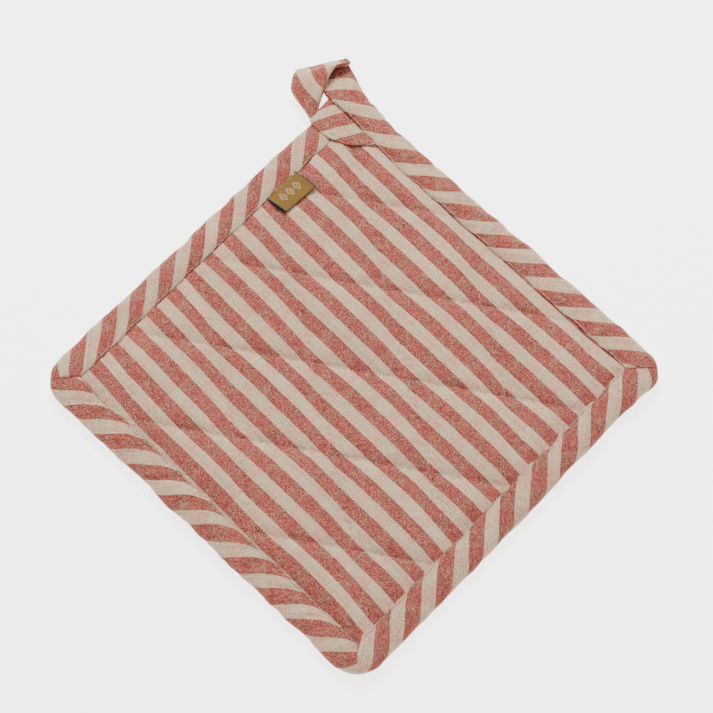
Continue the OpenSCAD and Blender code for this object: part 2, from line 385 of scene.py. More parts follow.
# ---------------------------------------------------------------- cloth coordinates
def face_cloth(x, y):
    """Where a point of the front lies in the cloth: across the stripes and along them, mm.
    The stripes run a little askew and drift where the quilting has pulled them."""
    x, y = np.asarray(x, float), np.asarray(y, float)
    yn = -y / 80.0
    al = (1.86 - 1.51 * x - y) / DL
    be = (31.5 + 1.51 * x - y) / DL
    wave = (0.20 * np.sin(2 * np.pi * al - 0.86) - 0.25 * np.sin(2 * np.pi * be + 0.72)
            - 0.07 * np.cos(4 * np.pi * al) - 0.10 * np.sin(4 * np.pi * be + 0.9))
    xn = (x + 2.5) / 79.5
    for _ in range(3):
        c = np.clip(xn, -1.1, 1.1)
        drift = (-1.24 * yn + 0.75 * yn ** 2 - 0.94 * yn ** 3 - 1.17 * c * yn - 0.83 * c * yn ** 2
                 + 0.84 * c * yn ** 3 + 1.0 * c * yn ** 4 + 0.8 * c ** 2 + 1.1 * c ** 3 * yn - 0.65 * c ** 4)
        xn = (x + 100 - 97.48 - drift - wave) / 79.504
    return np.stack([(6.5 + 6.5 * xn) * REPEAT, -y - 7.0 + 93.4], -1)


# ---------------------------------------------------------------- the quilted faces
def lattice(n, lim):
    """Points on a grid that follows the stitch lines, inside a square of half side lim."""
    w, l = DW / 2 / n, DL / 2 / n
    r = np.arange(-16 * n, 16 * n + 1)
    a, b = np.meshgrid(r, r, indexing="ij")
    x, y = CX + (a + b) * w, CY + (a - b) * l
    keep = (abs(x) <= lim) & (abs(y) <= lim) & (abs(x) + abs(y) <= 179) & ~((x > 86.5) & (y > 88))
    rows, cols = np.where(keep.any(1))[0], np.where(keep.any(0))[0]
    sl = np.ix_(range(rows[0], rows[-1] + 1), range(cols[0], cols[-1] + 1))
    return a[sl], b[sl], x[sl], y[sl], keep[sl]


def to_lines(a, b, n):
    """Distances from the two families of stitch lines, mm."""
    return (abs((a / n + 0.5) % 1 - 0.5) * LINE_GAP, abs((b / n + 0.5) % 1 - 0.5) * LINE_GAP)


def rise(x, y):
    """0 at the binding's inner edge, 1 well inside."""
    d = np.clip(INNER - np.maximum(abs(x), abs(y)), 0, None)
    return 1 - np.exp(-d / 6.5)


def start_height(a, b, x, y, n):
    da, db = to_lines(a, b, n)
    e = rise(x, y)
    puff = (1 - np.exp(-da / 3.6)) * (1 - np.exp(-db / 3.6))
    return 6.75 + 1.70 * e - (1 - puff) * (0.25 + 0.70 * e)


def quads(keep):
    idx = -np.ones(keep.shape, int)
    idx[keep] = np.arange(keep.sum())
    f = np.stack([idx[:-1, :-1], idx[:-1, 1:], idx[1:, 1:], idx[1:, :-1]], -1).reshape(-1, 4)
    return f[(f >= 0).all(1)], idx


def settle(x, y, z, faces, pins, pressure, give, frames=20):
    """Blender's cloth on the quilted face: held at its stitches, filled from below."""
    me = bpy.data.meshes.new("settling")
    me.from_pydata((np.stack([x, y, z], 1) * 0.1).tolist(), [], faces.tolist())
    ob = bpy.data.objects.new("settling", me)
    scene = bpy.context.scene
    scene.collection.objects.link(ob)
    vg = ob.vertex_groups.new(name="stitches")
    vg.add([int(k) for k in np.where(pins)[0]], 1.0, "REPLACE")
    m = ob.modifiers.new("Cloth", "CLOTH")
    s = m.settings
    s.vertex_group_mass = "stitches"
    s.quality, s.mass, s.air_damping = 5, 0.1, 3
    s.tension_stiffness = s.compression_stiffness = 20
    s.shear_stiffness, s.bending_stiffness = 8, 0.012
    s.tension_damping = s.compression_damping = s.shear_damping = 10
    s.bending_damping = 1
    s.use_pressure, s.uniform_pressure_force = True, pressure
    s.shrink_min = s.shrink_max = give
    s.effector_weights.gravity = 0
    m.point_cache.frame_start, m.point_cache.frame_end = 1, frames
    was = scene.frame_current, scene.frame_start, scene.frame_end
    scene.frame_start, scene.frame_end = 1, frames
    for k in range(1, frames + 1):
        scene.frame_set(k)
    got = ob.evaluated_get(bpy.context.evaluated_depsgraph_get()).to_mesh()
    co = np.zeros(len(x) * 3, np.float32)
    got.vertices.foreach_get("co", co)
    co = co.reshape(-1, 3) * 10.0
    bpy.data.objects.remove(ob)
    bpy.data.meshes.remove(me)
    scene.frame_start, scene.frame_end = was[1], was[2]
    scene.frame_set(was[0])
    return co.astype(float)


def doubled(g, keep):
    """Twice as fine a grid, through the same points, by smooth interpolation."""
    filled = g.copy()
    bad = ~keep
    for _ in range(6):                       # fills a margin outside the kept points
        p = np.pad(filled, ((1, 1), (1, 1), (0, 0)), mode="edge")
        pb = np.pad(bad, 1, mode="constant", constant_values=True)
        total, count = np.zeros_like(filled), np.zeros(bad.shape)
        for di, dj in ((0, 1), (2, 1), (1, 0), (1, 2)):
            ok = ~pb[di:di + bad.shape[0], dj:dj + bad.shape[1]]
            total += p[di:di + bad.shape[0], dj:dj + bad.shape[1]] * ok[..., None]
            count += ok
        new = bad & (count > 0)
        filled[new] = total[new] / count[new][:, None]
        bad = bad & ~new

    def along(q):
        e = np.concatenate([q[:1], q, q[-1:]], 0)
        mid = (-e[:-3] + 9 * e[1:-2] + 9 * e[2:-1] - e[3:]) / 16
        out = np.empty((2 * len(q) - 1, *q.shape[1:]))
        out[::2], out[1::2] = q, mid
        return out

    fine = along(filled)
    fine = along(fine.swapaxes(0, 1)).swapaxes(0, 1)
    k = np.zeros(fine.shape[:2], bool)
    k[::2, ::2] = keep
    k[1::2, ::2] = keep[:-1] & keep[1:]
    k[::2, 1::2] = keep[:, :-1] & keep[:, 1:]
    k[1::2, 1::2] = keep[:-1, :-1] & keep[1:, :-1] & keep[:-1, 1:] & keep[1:, 1:]
    return fine, k


A, B, LX, LY, KEEP = lattice(NS, 92.5)
F0, IDX0 = quads(KEEP)
flat_a, flat_b, flat_x, flat_y = A[KEEP], B[KEEP], LX[KEEP], LY[KEEP]
Z0 = start_height(flat_a, flat_b, flat_x, flat_y, NS)
EDGE = INNER - np.maximum(abs(flat_x), abs(flat_y))
HELD = (((flat_a % NS == 0) & (flat_b % 2 == 0)) | ((flat_b % NS == 0) & (flat_a % 2 == 0)) | (EDGE < 0.5))


def quilted(seed, pressure, give, crown):
    """The settled grid of one face, as displacements (dx, dy) and a height."""
    z = Z0 + np.random.default_rng(seed).normal(0, 0.025, len(Z0)) * (~HELD)
    co = settle(flat_x, flat_y, z, F0, HELD, pressure, give)
    lift = co[:, 2] - Z0
    lift = np.where(lift > 0, crown * (1 - np.exp(-lift / crown)), lift)   # a cap on how far it may swell
    side = np.clip(co[:, :2] - np.stack([flat_x, flat_y], 1), -0.8, 0.8)
    g = np.zeros((*KEEP.shape, 3))
    g[KEEP] = np.column_stack([side, Z0 + lift])
    return g


FRONT_G = quilted(5, 1.1, -0.016, 1.0)
FINE_G, FINE_K = doubled(FRONT_G, KEEP)
fa = A[0, 0] + np.arange(FINE_G.shape[0]) / 2.0
fb = B[0, 0] + np.arange(FINE_G.shape[1]) / 2.0
FA, FB = np.meshgrid(fa, fb, indexing="ij")
FX, FY = CX + (FA + FB) * DW / 2 / NS, CY + (FA - FB) * DL / 2 / NS


def stitch_relief(a, b, n, x, y):
    """Dimples where the needle went in and small puckers that run off from the line."""
    da, db = to_lines(a, b, n)
    pa, pb = b / 2.0, a / 2.0                 # position along each family, in stitches
    vary = 0.7 + 0.5 * field(17, 21)(x, y)
    dim = -0.16 * (np.exp(-da / 1.1) * (0.5 + 0.5 * np.cos(2 * np.pi * pa)) + np.exp(-db / 1.1) * (0.5 + 0.5 * np.cos(2 * np.pi * pb)))
    pk = (np.exp(-da / 3.4) * np.sin(2 * np.pi * (pa * 0.5 + 0.16 * field(9, 31)(x, y)) + da * 0.5)
          + np.exp(-db / 3.4) * np.sin(2 * np.pi * (pb * 0.5 + 0.16 * field(9, 32)(x, y)) - db * 0.5))
    return (dim + 0.13 * vary * pk) * (0.35 + 0.65 * rise(x, y))


relief = stitch_relief(FA, FB, NS, FX, FY) + 0.05 * field(8, 41)(FX, FY) + 0.10 * field(26, 42)(FX, FY) * rise(FX, FY)
FRONT_XYZ = np.stack([FX + FINE_G[..., 0], FY + FINE_G[..., 1], FINE_G[..., 2] + relief], -1)
faces, IDX = quads(FINE_K)
pts = FRONT_XYZ[FINE_K]
front_cloth = make("front_cloth", pts, faces, COTTON, uv=face_cloth(pts[:, 0], pts[:, 1]))
FRONT_TABLE = pts


def front_z(x, y):
    """The front cloth's height near a point, by the nearest grid points."""
    x, y = np.atleast_1d(np.asarray(x, float)), np.atleast_1d(np.asarray(y, float))
    w, l = DW / 2 / NS, DL / 2 / NS
    s, t = (x - CX) / w, (y - CY) / l
    ai = np.clip((((s + t) / 2 - fa[0]) * 2).round().astype(int), 0, len(fa) - 1)
    bi = np.clip((((s - t) / 2 - fb[0]) * 2).round().astype(int), 0, len(fb) - 1)
    got = FRONT_XYZ[ai, bi, 2]
    return np.where(FINE_K[ai, bi], got, 7.0)


# The back face is quilted by the same stitches and lies flattened on what it rests on.
lift_b = (FINE_G[..., 2] - 6.75)
back_h = 0.92 - 0.46 * np.clip(lift_b, 0, None) + 0.55 * stitch_relief(FA, FB, NS, FX, FY) * -1 + 0.05 * field(11, 51)(FX, FY)
back_h = 0.06 + np.where(back_h > 0.06, back_h - 0.06, 0.0) + 0.02 * np.exp(-np.clip(back_h, -1, 1))
BACK_XYZ = np.stack([FX + FINE_G[..., 0], FY + FINE_G[..., 1], back_h], -1)
pts_b = BACK_XYZ[FINE_K]
back_uv = face_cloth(-pts_b[:, 0], pts_b[:, 1]) + np.array([4.1, 2.7])
back_cloth = make("back_cloth", pts_b, faces[:, ::-1], COTTON, uv=back_uv)


def filling(name, top, bottom, seed):
    """A closed layer of wadding between two heights on the coarse grid."""
    n = len(top)
    v = np.vstack([np.column_stack([flat_x, flat_y, top]), np.column_stack([flat_x, flat_y, bottom])])
    edges = {}
    for q in F0:
        for k in range(4):
            e = (q[k], q[(k + 1) % 4])
            edges[tuple(sorted(e))] = None if tuple(sorted(e)) in edges else e
    rim = [(e[1], e[0], e[0] + n, e[1] + n) for e in edges.values() if e]
    f = F0.tolist() + (F0[:, ::-1] + n).tolist() + rim
    return make(name, v, f, FILL)


mid = 4.0 + 0.25 * field(22, 61)(flat_x, flat_y)
coarse_top = FRONT_G[KEEP][:, 2]
coarse_back = BACK_XYZ[::2, ::2][KEEP][:, 2]
front_fill = filling("front_wadding_layer", coarse_top - 1.05, mid + 0.05, 1)
back_fill = filling("back_wadding_layer", mid - 0.05, coarse_back + 0.5, 2)


# ---------------------------------------------------------------- sewn threads
def stitches(name, rows, radius, sides=6):
    """One mesh of short stitches. rows: (from, to, outward, bow) in mm."""
    verts, uvs, fs = [], [], []
    ang = np.arange(sides) * 2 * np.pi / sides
    for k, (p, q, n, bow) in enumerate(rows):
        p, q, n = np.asarray(p, float), np.asarray(q, float), np.asarray(n, float)
        d = q - p
        length = np.linalg.norm(d)
        d = d / length
        n = n - d * (n @ d)
        n /= np.linalg.norm(n)
        c = np.cross(d, n)
        path = [(0.00, -0.42), (0.05, -0.05), (0.18, bow), (0.5, bow * 1.25), (0.82, bow), (0.95, -0.05), (1.0, -0.42)]
        base = len(verts)
        for r, (s, h) in enumerate(path):
            rr = radius * (0.75 if r in (0, len(path) - 1) else 1.0)
            for j, t in enumerate(ang):
                verts.append(p + d * s * length + n * (h + rr * 0.8 * math.sin(t)) + c * rr * math.cos(t))
                # the ends of each stitch get x raised by 10, which the thread's material paints near black as
                # needle-hole shade
                uvs.append((j / sides + (10.0 if r in (0, 1, 5, 6) else 0.0), s * length + k * 0.37))
            if r:
                a0, b0 = base + (r - 1) * sides, base + r * sides
                fs += [(a0 + j, a0 + (j + 1) % sides, b0 + (j + 1) % sides, b0 + j) for j in range(sides)]
        fs.append(tuple(range(base + sides - 1, base - 1, -1)))
        fs.append(tuple(range(base + (len(path) - 1) * sides, base + len(path) * sides)))
    return make(name, verts, fs, THREAD, uv=uvs)


def quilt_rows(xyz, keep, up, bow, margin=0.8):
    """A stitch between every two needle holes along both families of lines."""
    rows = []
    jig = np.random.default_rng(77)
    step = 4                                  # fine grid steps between holes
    for fam in (0, 1):
        arr, kk = (xyz, keep) if fam == 0 else (xyz.swapaxes(0, 1), keep.T)
        first, second = (fa, fb) if fam == 0 else (fb, fa)
        for i in range(len(first)):
            if abs((first[i] / NS) % 1) > 1e-6:
                continue
            js = [j for j in range(len(second)) if second[j] % 2 == 0]
            for j0, j1 in zip(js[:-1], js[1:]):
                if not (kk[i, j0] and kk[i, j1]):
                    continue
                p, q = arr[i, j0], arr[i, j1]
                if max(abs(p[0]), abs(p[1]), abs(q[0]), abs(q[1])) > INNER - margin:
                    continue
                k = (q - p) / np.linalg.norm(q - p)
                s = 0.06 + 0.03 * jig.random()
                off = np.cross(k, up) * jig.normal(0, 0.07)
                rows.append((p + k * s + off, q - k * s + off, up, bow))
    return rows


quilt_top = stitches("quilting_stitches_front", quilt_rows(FRONT_XYZ, FINE_K, np.array([0, 0, 1.0]), 0.11), 0.13)
quilt_under = stitches("quilting_stitches_back", quilt_rows(BACK_XYZ, FINE_K, np.array([0, 0, -1.0]), 0.10), 0.14)


# ---------------------------------------------------------------- the bias binding
def section():
    """The binding's section on the pad: (inset from the outer edge, height), from the
    hem inside the top, over the top, round the rolled edge and back under."""
    hem = np.array([[10.6, 6.62], [11.6, 6.62], [12.6, 6.64], [13.4, 6.72]])
    top = even([[13.86, 6.98], [13.9, 7.22], [13.5, 7.46], [12.85, 7.33], [11.9, 7.62], [9.8, 7.86], [7.0, 7.88], [5.2, 7.72], [3.9, 7.42]], 20)
    ang = np.radians(np.linspace(84, -84, 15))
    nose = np.column_stack([3.85 - 3.85 * np.cos(ang), 3.72 + 3.62 * np.sin(ang)])
    low = even([[3.9, 0.10], [5.5, 0.03], [8.0, 0.02], [11.5, 0.03], [12.85, 0.20], [13.5, 0.05], [13.9, 0.28], [13.86, 0.50]], 20)
    hem2 = np.array([[13.4, 0.70], [12.6, 0.78], [11.6, 0.80], [10.6, 0.80]])
    return np.vstack([hem, top, nose, low, hem2]), (len(hem), len(top), len(nose), len(low), len(hem2))


SEC, PARTS = section()
_step = np.linalg.norm(np.diff(SEC, axis=0), axis=1)
SEC_T = np.concatenate([[0], np.cumsum(_step)])
SEC_T = SEC_T - SEC_T[PARTS[0]]               # 0 at the top's inner fold

TURN = {      # side: direction of travel, outward, repeat, a red centre, slope, how far the stripes trail at the fold
    "top": ((1, 0), (0, 1), 18.75, 18.8, 1.12, 2.4),
    "right": ((0, -1), (1, 0), 20.35, 24.4, 1.06, 2.6),
    "bottom": ((-1, 0), (0, -1), 19.95, 18.6, 1.10, 1.8),
    "left": ((0, 1), (-1, 0), 20.05, 29.6, 1.02, 5.5),
}


def bias_uv(side, s, t, run=None):
    """Cloth coordinates at s along the side and t across the strip, mm."""
    _, _, rep, first, slope, trail = TURN[side]
    k = (s - slope * (t - 7.0) - first + trail * np.exp(-np.clip(t, 0, None) / 2.4)) / rep
    across = k + 0.018 * np.sin(s / 9.0) + 0.012 * np.sin(s / 4.1 + 1.0)
    run = s if run is None else run
    return np.stack([REPEAT * across, REPEAT * (run * 0.92 + (t - 7.0)) / rep * 1.02], -1)


CORNER = {"top": (14.0, 6.0), "right": (6.0, 11.0), "bottom": (11.0, 15.0), "left": (15.0, 14.0)}


def contour(side, d, frac):
    """Along a side at inset d: (distance along, actual inset) for frac from -1 to 1."""
    r0 = np.where(frac < 0, *CORNER[side])
    r = np.maximum(r0 * (1 - d / 13.5), 0.0)
    straight = HALF - d - r
    total = straight + r * math.pi / 4
    s = frac * total
    over = np.clip(abs(s) - straight, 0, None)
    ang = np.where(r > 1e-6, over / np.maximum(r, 1e-6), 0.0)
    along = np.where(over > 0, straight + r * np.sin(ang), abs(s)) * np.sign(s)
    inset = np.where(over > 0, d + r * (1 - np.cos(ang)), d)
    return along, inset, s


def binding_wave(s, t, seed):
    """Height of small drag lines and puffs on the strip, mm."""
    ridge = field(7.5, seed, angle=math.atan2(-1, 1), fan=0.9)(s, t)
    puff = field(24, seed + 1)(s, t)
    fine = field(3.2, seed + 2, angle=math.atan2(-1, 1), fan=1.3)(s, t)
    seam = np.exp(-((t - 1.15) / 0.9) ** 2)
    dimple = -0.16 * seam * (0.5 + 0.5 * np.cos(2 * np.pi * s / TOP_PITCH))
    pucker = 0.10 * np.exp(-abs(t - 1.15) / 2.2) * np.sin(2 * np.pi * s / (2 * TOP_PITCH) + 0.9 * field(15, seed + 3)(s, 0 * t))
    return 0.13 * ridge + 0.16 * puff + 0.04 * fine + dimple + pucker


def side_strip(side, fracs, seed, lift_ends=(0.0, 0.0), tuck=(0.0, 0.0)):
    """Points and cloth coordinates of one side's strip, rows along and columns across.
    lift_ends raises the strip beside its mitres; tuck runs it on under its neighbour."""
    (tx, ty), (ox, oy), *_ = TURN[side]
    d = SEC[:, 0][None, :]
    z = SEC[:, 1][None, :]
    fr = np.asarray(fracs, float)[:, None]
    extra = np.clip(abs(fr) - 1, 0, None)
    along, inset, s = contour(side, d + 0 * fr, np.clip(fr, -1, 1))
    reach = smooth(5.0, 8.0, d) * 2.2 + 0.01
    along = along + np.sign(fr) * extra * reach * 10
    s_pat = s + np.sign(fr) * extra * reach * 10 + HALF
    t = SEC_T[None, :] + 0 * fr
    wave = binding_wave(s_pat, t, seed)
    calm = 1 - smooth(0.955, 1.0, abs(fr))           # neighbours meet on the same rolled edge
    outer = calm * (0.30 * field(34, seed + 7)(s_pat, 0 * t) + 0.10 * field(11, seed + 8)(s_pat, 0 * t))
    # outward normal of the section
    dd, dz = np.gradient(SEC[:, 0]), np.gradient(SEC[:, 1])
    ln = np.hypot(dd, dz)
    nd, nz = (dz / ln)[None, :], (-dd / ln)[None, :]
    open_part = np.ones(len(SEC))
    open_part[:PARTS[0]] = 0
    open_part[-PARTS[4]:] = 0
    low = slice(sum(PARTS[:3]), sum(PARTS[:4]))
    amp = open_part.copy()
    amp[low] = 0.22
    h = wave * amp[None, :]
    nose_w = np.exp(-((SEC[:, 0]) / 3.5) ** 2)[None, :]
    h = h * (1 - nose_w * (1 - calm))
    scallop = 0.20 * field(15, seed + 9)(s_pat, 0 * t) * smooth(9.0, 13.5, d) * (1 - smooth(0.9, 1.0, abs(fr)))
    inset = inset + scallop - nose_w * outer + nd * h * (amp[None, :] > 0.5) * (1 - 0.5 * nose_w)
    zz = z + nz * h
    # mitres
    flange = smooth(4.5, 7.5, d)
    to_end = (1 - np.clip(abs(fr), 0, 1)) * (HALF - d)
    for sign, lift, under in ((-1, lift_ends[0], tuck[0]), (1, lift_ends[1], tuck[1])):
        near = (np.sign(fr) == sign)
        up = np.where(z > 3.7, 1.0, -0.25)
        ridge = lift * np.exp(-(to_end / 2.6) ** 2) * (1 - 1.7 * np.exp(-(to_end / 0.45) ** 2))
        dip = -under * np.exp(-(to_end / 1.6) ** 2)
        zz = zz + near * flange * up * (ridge + dip)
    zz = np.maximum(zz, 0.0)
    x = tx * along + ox * (HALF - inset)
    y = ty * along + oy * (HALF - inset)
    return np.stack([x, y, zz], -1), bias_uv(side, s_pat, t)


COLS = 232
base_fr = np.linspace(-1, 1, COLS)
over_fr = np.concatenate([[-1.10, -1.05], base_fr[1:-1], [1.05, 1.10]])
# the side's strip is over its neighbour at one mitre and under it at the other
SIDES = {}
fr_left = np.concatenate([[-1.10, -1.05], np.linspace(-1, 1, COLS), [1.05, 1.10]])
SIDES["left"] = side_strip("left", fr_left, 200, (0.0, 0.0), (0.55, 0.30))
SIDES["bottom"] = side_strip("bottom", np.concatenate([[-1.10, -1.05], np.linspace(-1, 1, COLS)]), 210, (0.0, 0.75), (0.30, 0.0))
SIDES["top"] = side_strip("top", np.concatenate([np.linspace(-1, 1, COLS), [1.05, 1.10]]), 220, (0.50, 0.0), (0.0, 0.6))
under_loop = smooth(76.0, 88.0, SIDES["top"][0][..., 0])
SIDES["top"][0][..., 2] -= under_loop * 1.5 * smooth(3.0, 6.5, SIDES["top"][0][..., 2])
SIDES["top"][0][..., 2] += 0.40 * smooth(86.0, 93.0, SIDES["top"][0][..., 0]) * (1 - smooth(0.6, 2.5, SIDES["top"][0][..., 2]))


def join_grids(grids):
    v, uv, f, n = [], [], [], 0
    for g, u in grids:
        r, c = g.shape[:2]
        v.append(g.reshape(-1, 3))
        uv.append(u.reshape(-1, 2))
        f.append(grid_faces(r, c) + n)
        n += r * c
    return np.vstack(v), np.vstack(uv), np.vstack(f)


# The strip's start, folded down and to the right beside the loop.
def flap():
    left = even([[75.8, 97.0, 2.3], [75.6, 100.3, 3.2], [75.5, 101.0, 4.8], [75.0, 100.2, 6.7], [74.2, 97.3, 8.0], [73.9, 94.0, 8.4], [74.1, 90.0, 8.45],
                 [74.9, 86.3, 8.3], [76.2, 82.4, 8.6], [77.9, 79.0, 8.9], [80.4, 75.6, 9.0], [86.0, 70.6, 8.2]], 76)
    right = even([[90.8, 98.5, 1.6], [90.8, 101.9, 2.6], [90.8, 102.7, 4.4], [90.8, 101.9, 5.9], [90.8, 98.9, 6.9], [90.8, 94.0, 7.2], [90.8, 90.0, 7.3],
                  [91.2, 86.3, 7.3], [91.2, 82.4, 7.2], [91.2, 79.0, 7.2], [91.2, 74.6, 7.2], [91.0, 68.8, 7.2]], 76)
    w = np.linspace(0, 1, 36)[None, :, None]
    g = left[:, None, :] * (1 - w) + right[:, None, :] * w
    g[..., 1] = left[:, None, 1] + (right[:, None, 1] - left[:, None, 1]) * np.where(left[:, None, 1] > 94, w[..., 0] ** 0.45, w[..., 0])
    x, y = g[..., 0], g[..., 1]
    under = np.where(y > 85.5, 7.88 - 0.4 * smooth(95.8, 97.6, y), front_z(x.ravel(), y.ravel()).reshape(x.shape) + 0.25)
    inside = smooth(0.0, 0.12, np.broadcast_to(w[..., 0], x.shape)) * 0.25
    target = np.maximum(g[..., 2] + inside, np.where(y < 97, under + 0.18, 0))
    k = (1 - smooth(86.0, 89.0, x)) * (y < 97.5)
    z = g[..., 2] + (target - g[..., 2]) * k
    z = z + 0.20 * field(13, 301)(x, y) * k + 0.06 * field(5, 302)(x, y) * k
    for _ in range(3):
        z[1:-1, 1:-1] = (z[1:-1, 1:-1] * 2 + z[:-2, 1:-1] + z[2:, 1:-1] + z[1:-1, :-2] + z[1:-1, 2:]) / 6
    top = np.stack([x, y, z], -1)
    # the left edge is a fold: the cloth goes down and back under
    fold1 = top[:, 0] + np.array([-0.16, -0.05, -0.22])
    fold2 = top[:, 0] + np.array([0.10, 0.0, -0.50])
    under_row = top[:, 3] + np.array([0.0, 0.0, -0.60])
    full = np.concatenate([under_row[:, None], fold2[:, None], fold1[:, None], top], 1)
    ang = math.radians(28)
    drop = np.where(full[..., 1] > 96, (7.9 - full[..., 2]).clip(0, 6), 0)
    yy = full[..., 1] + drop * 0.9
    pp = full[..., 0] * math.sin(ang) + yy * math.cos(ang)
    qq = full[..., 0] * math.cos(ang) - yy * math.sin(ang)
    uv = np.stack([(pp - 119.3) * REPEAT / 12.6, qq], -1)
    return full[::-1], uv[::-1]


v, uv, f = join_grids([SIDES["left"], SIDES["bottom"], SIDES["top"]])
fl, fu = flap()
f2 = grid_faces(*fl.shape[:2]) + len(v)
binding = make("edge_binding_strip", np.vstack([v, fl.reshape(-1, 3)]), np.vstack([f, f2]), BIAS, uv=np.vstack([uv, fu.reshape(-1, 2)]))


# ---------------------------------------------------------------- right side and loop
def flat_section(width, thick):
    """The strip pressed flat: same points as the pad's section, as (inset, height)."""
    h = thick / 2
    hem = np.column_stack([np.linspace(width * 0.72, width - 0.7, PARTS[0]), np.full(PARTS[0], 0.12)])
    top = even([[width - 0.15, 0.22], [width, h * 0.62], [width - 0.5, h], [width * 0.6, h * 1.12], [width * 0.3, h * 1.1], [h, h]], PARTS[1])
    ang = np.radians(np.linspace(84, -84, PARTS[2]))
    nose = np.column_stack([h - h * np.cos(ang), h * np.sin(ang)])
    low = top[::-1] * np.array([1, -1])
    return np.vstack([hem, top, nose, low, hem[::-1] * np.array([1, -1])])


FLAT = flat_section(1.0 * 15.6, 1.9)
# stations along the strip: the inner edge, the outer edge (mm), the strip's thickness,
# how far it is pressed flat (0 to 1) and how much it is bowed across its width
STATIONS = [
    # inner edge              outer edge          thick flat bow  s_in  s_out raise
    ((86.6, 62.0, 3.72), (100.2, 62.0, 3.72), 7.5, 0.00, 0.0, 38.0, 38.0, 0.0),
    ((87.1, 72.0, 3.72), (100.7, 72.0, 3.72), 7.5, 0.00, 0.0, 28.0, 28.5, 0.5),
    ((88.0, 80.0, 3.75), (101.5, 80.0, 3.72), 7.5, 0.00, 0.0, 20.0, 19.5, 1.0),
    ((88.9, 88.0, 3.85), (102.6, 88.0, 3.8), 7.5, 0.05, 0.0, 12.5, 10.8, 1.1),
    ((89.2, 94.0, 4.2), (103.9, 93.6, 4.0), 6.9, 0.22, 0.0, 7.0, 4.0, 1.1),
    ((89.2, 99.5, 5.0), (105.6, 98.5, 4.4), 5.4, 0.55, 0.1, 1.5, -4.8, 0.7),
    ((89.9, 104.0, 5.6), (107.4, 103.3, 4.4), 2.6, 0.95, 0.3, -6.2, -9.8, 0.1),
    ((91.2, 110.0, 4.6), (108.9, 107.6, 4.2), 1.9, 1.00, 0.5, -15.0, -13.2, 0.0),
    ((92.3, 117.5, 2.9), (109.9, 110.2, 3.2), 1.9, 1.00, 0.3, -22.5, -16.0, 0.0),
    ((92.1, 121.8, 2.0), (110.5, 110.6, 3.3), 1.8, 1.00, 0.0, -28.0, -18.0, 0.0),
    ((91.0, 123.5, 2.9), (110.5, 109.6, 5.5), 1.8, 1.00, 0.0, -38.5, -19.5, 0.0),
    ((89.4, 123.3, 4.4), (109.2, 107.0, 7.9), 1.8, 1.00, 0.1, -43.0, -21.0, 0.0),
    ((87.0, 122.4, 5.2), (105.9, 107.9, 9.6), 1.8, 1.00, 0.4, -47.5, -25.0, 0.0),
    ((84.2, 121.0, 5.5), (101.6, 109.9, 10.2), 1.8, 1.00, 0.8, -51.5, -30.0, 0.0),
    ((80.4, 117.9, 4.9), (96.0, 108.7, 9.6), 1.8, 1.00, 1.2, -56.0, -38.0, 0.0),
    ((78.8, 112.6, 4.2), (91.0, 106.3, 8.4), 1.9, 1.00, 1.4, -57.0, -46.5, 0.0),
    ((77.6, 106.6, 3.8), (85.9, 104.0, 7.2), 2.0, 1.00, 1.3, -57.0, -54.5, 0.0),
    ((76.4, 101.5, 3.6), (80.8, 101.0, 5.8), 2.0, 1.00, 1.0, -57.0, -60.5, 0.0),
    ((76.0, 96.6, 3.4), (79.4, 96.6, 4.8), 1.9, 1.00, 0.5, -57.0, -64.0, 0.0),
]


def loop_part(rows):
    st = np.array([[*a, *b, *rest] for a, b, *rest in STATIONS])
    seg = np.concatenate([[0], np.cumsum(np.linalg.norm(np.diff((st[:, :3] + st[:, 3:6]) / 2, axis=0), axis=1) + 0.4)])
    fine = spline(st, 60 * len(st))
    u = np.linspace(0, len(st) - 1, len(fine))
    along = np.interp(u, np.arange(len(st)), seg)
    at = np.linspace(0, along[-1], rows)
    s = np.stack([np.interp(at, along, fine[:, k]) for k in range(fine.shape[1])], 1)
    inner, outer = s[:, :3], s[:, 3:6]
    thick, flat, bow, s_in, s_out, lift = s[:, 6:].T
    mid = (inner + outer) / 2
    tan = np.gradient(mid, axis=0)
    # a tight fold: smooth the tangent
    for _ in range(2):
        tan[1:-1] = (tan[:-2] + 2 * tan[1:-1] + tan[2:]) / 4
    e = inner - outer
    width = np.linalg.norm(e, axis=1, keepdims=True)
    e = e / width
    nrm = np.cross(tan, e)
    nrm /= np.linalg.norm(nrm, axis=1, keepdims=True)
    d_pad, z_pad = SEC[:, 0] / 13.9, (SEC[:, 1] - 3.72) / 3.75
    d_flat, z_flat = FLAT[:, 0] / 15.6, FLAT[:, 1] / 0.95
    m = flat[:, None]
    dd = d_pad * (1 - m) + d_flat * m
    zz = (z_pad * (1 - m) + z_flat * m) * thick[:, None] / 2
    zz = zz + bow[:, None] * 4 * dd * (1 - np.clip(dd, 0, 1)) * -1.0 * smooth(0, 1, (np.arange(rows) / rows - 0.55)[:, None] * 20) \
        + bow[:, None] * 0.3 * np.sin(np.pi * np.clip(dd, 0, 1)) * (1 - smooth(0, 1, (np.arange(rows) / rows - 0.55)[:, None] * 20))
    upper = np.zeros(len(SEC))
    upper[:sum(PARTS[:2])] = 1.0
    zz = zz + np.clip(lift, 0, None)[:, None] * smooth(0.35, 0.85, dd) * upper[None, :]
    pos = outer[:, None, :] + e[:, None, :] * (dd * width)[..., None] + nrm[:, None, :] * zz[..., None]
    s_here = s_in[:, None] * dd + s_out[:, None] * (1 - dd)
    run = 38.0 - at[:, None] + 0 * dd
    return pos, s_here, run, flat


LOOP_ROWS = 210
pos, s_here, run_here, flatness = loop_part(LOOP_ROWS)
t_here = np.broadcast_to(SEC_T[None, :], s_here.shape)
wave = binding_wave(s_here, t_here, 230)
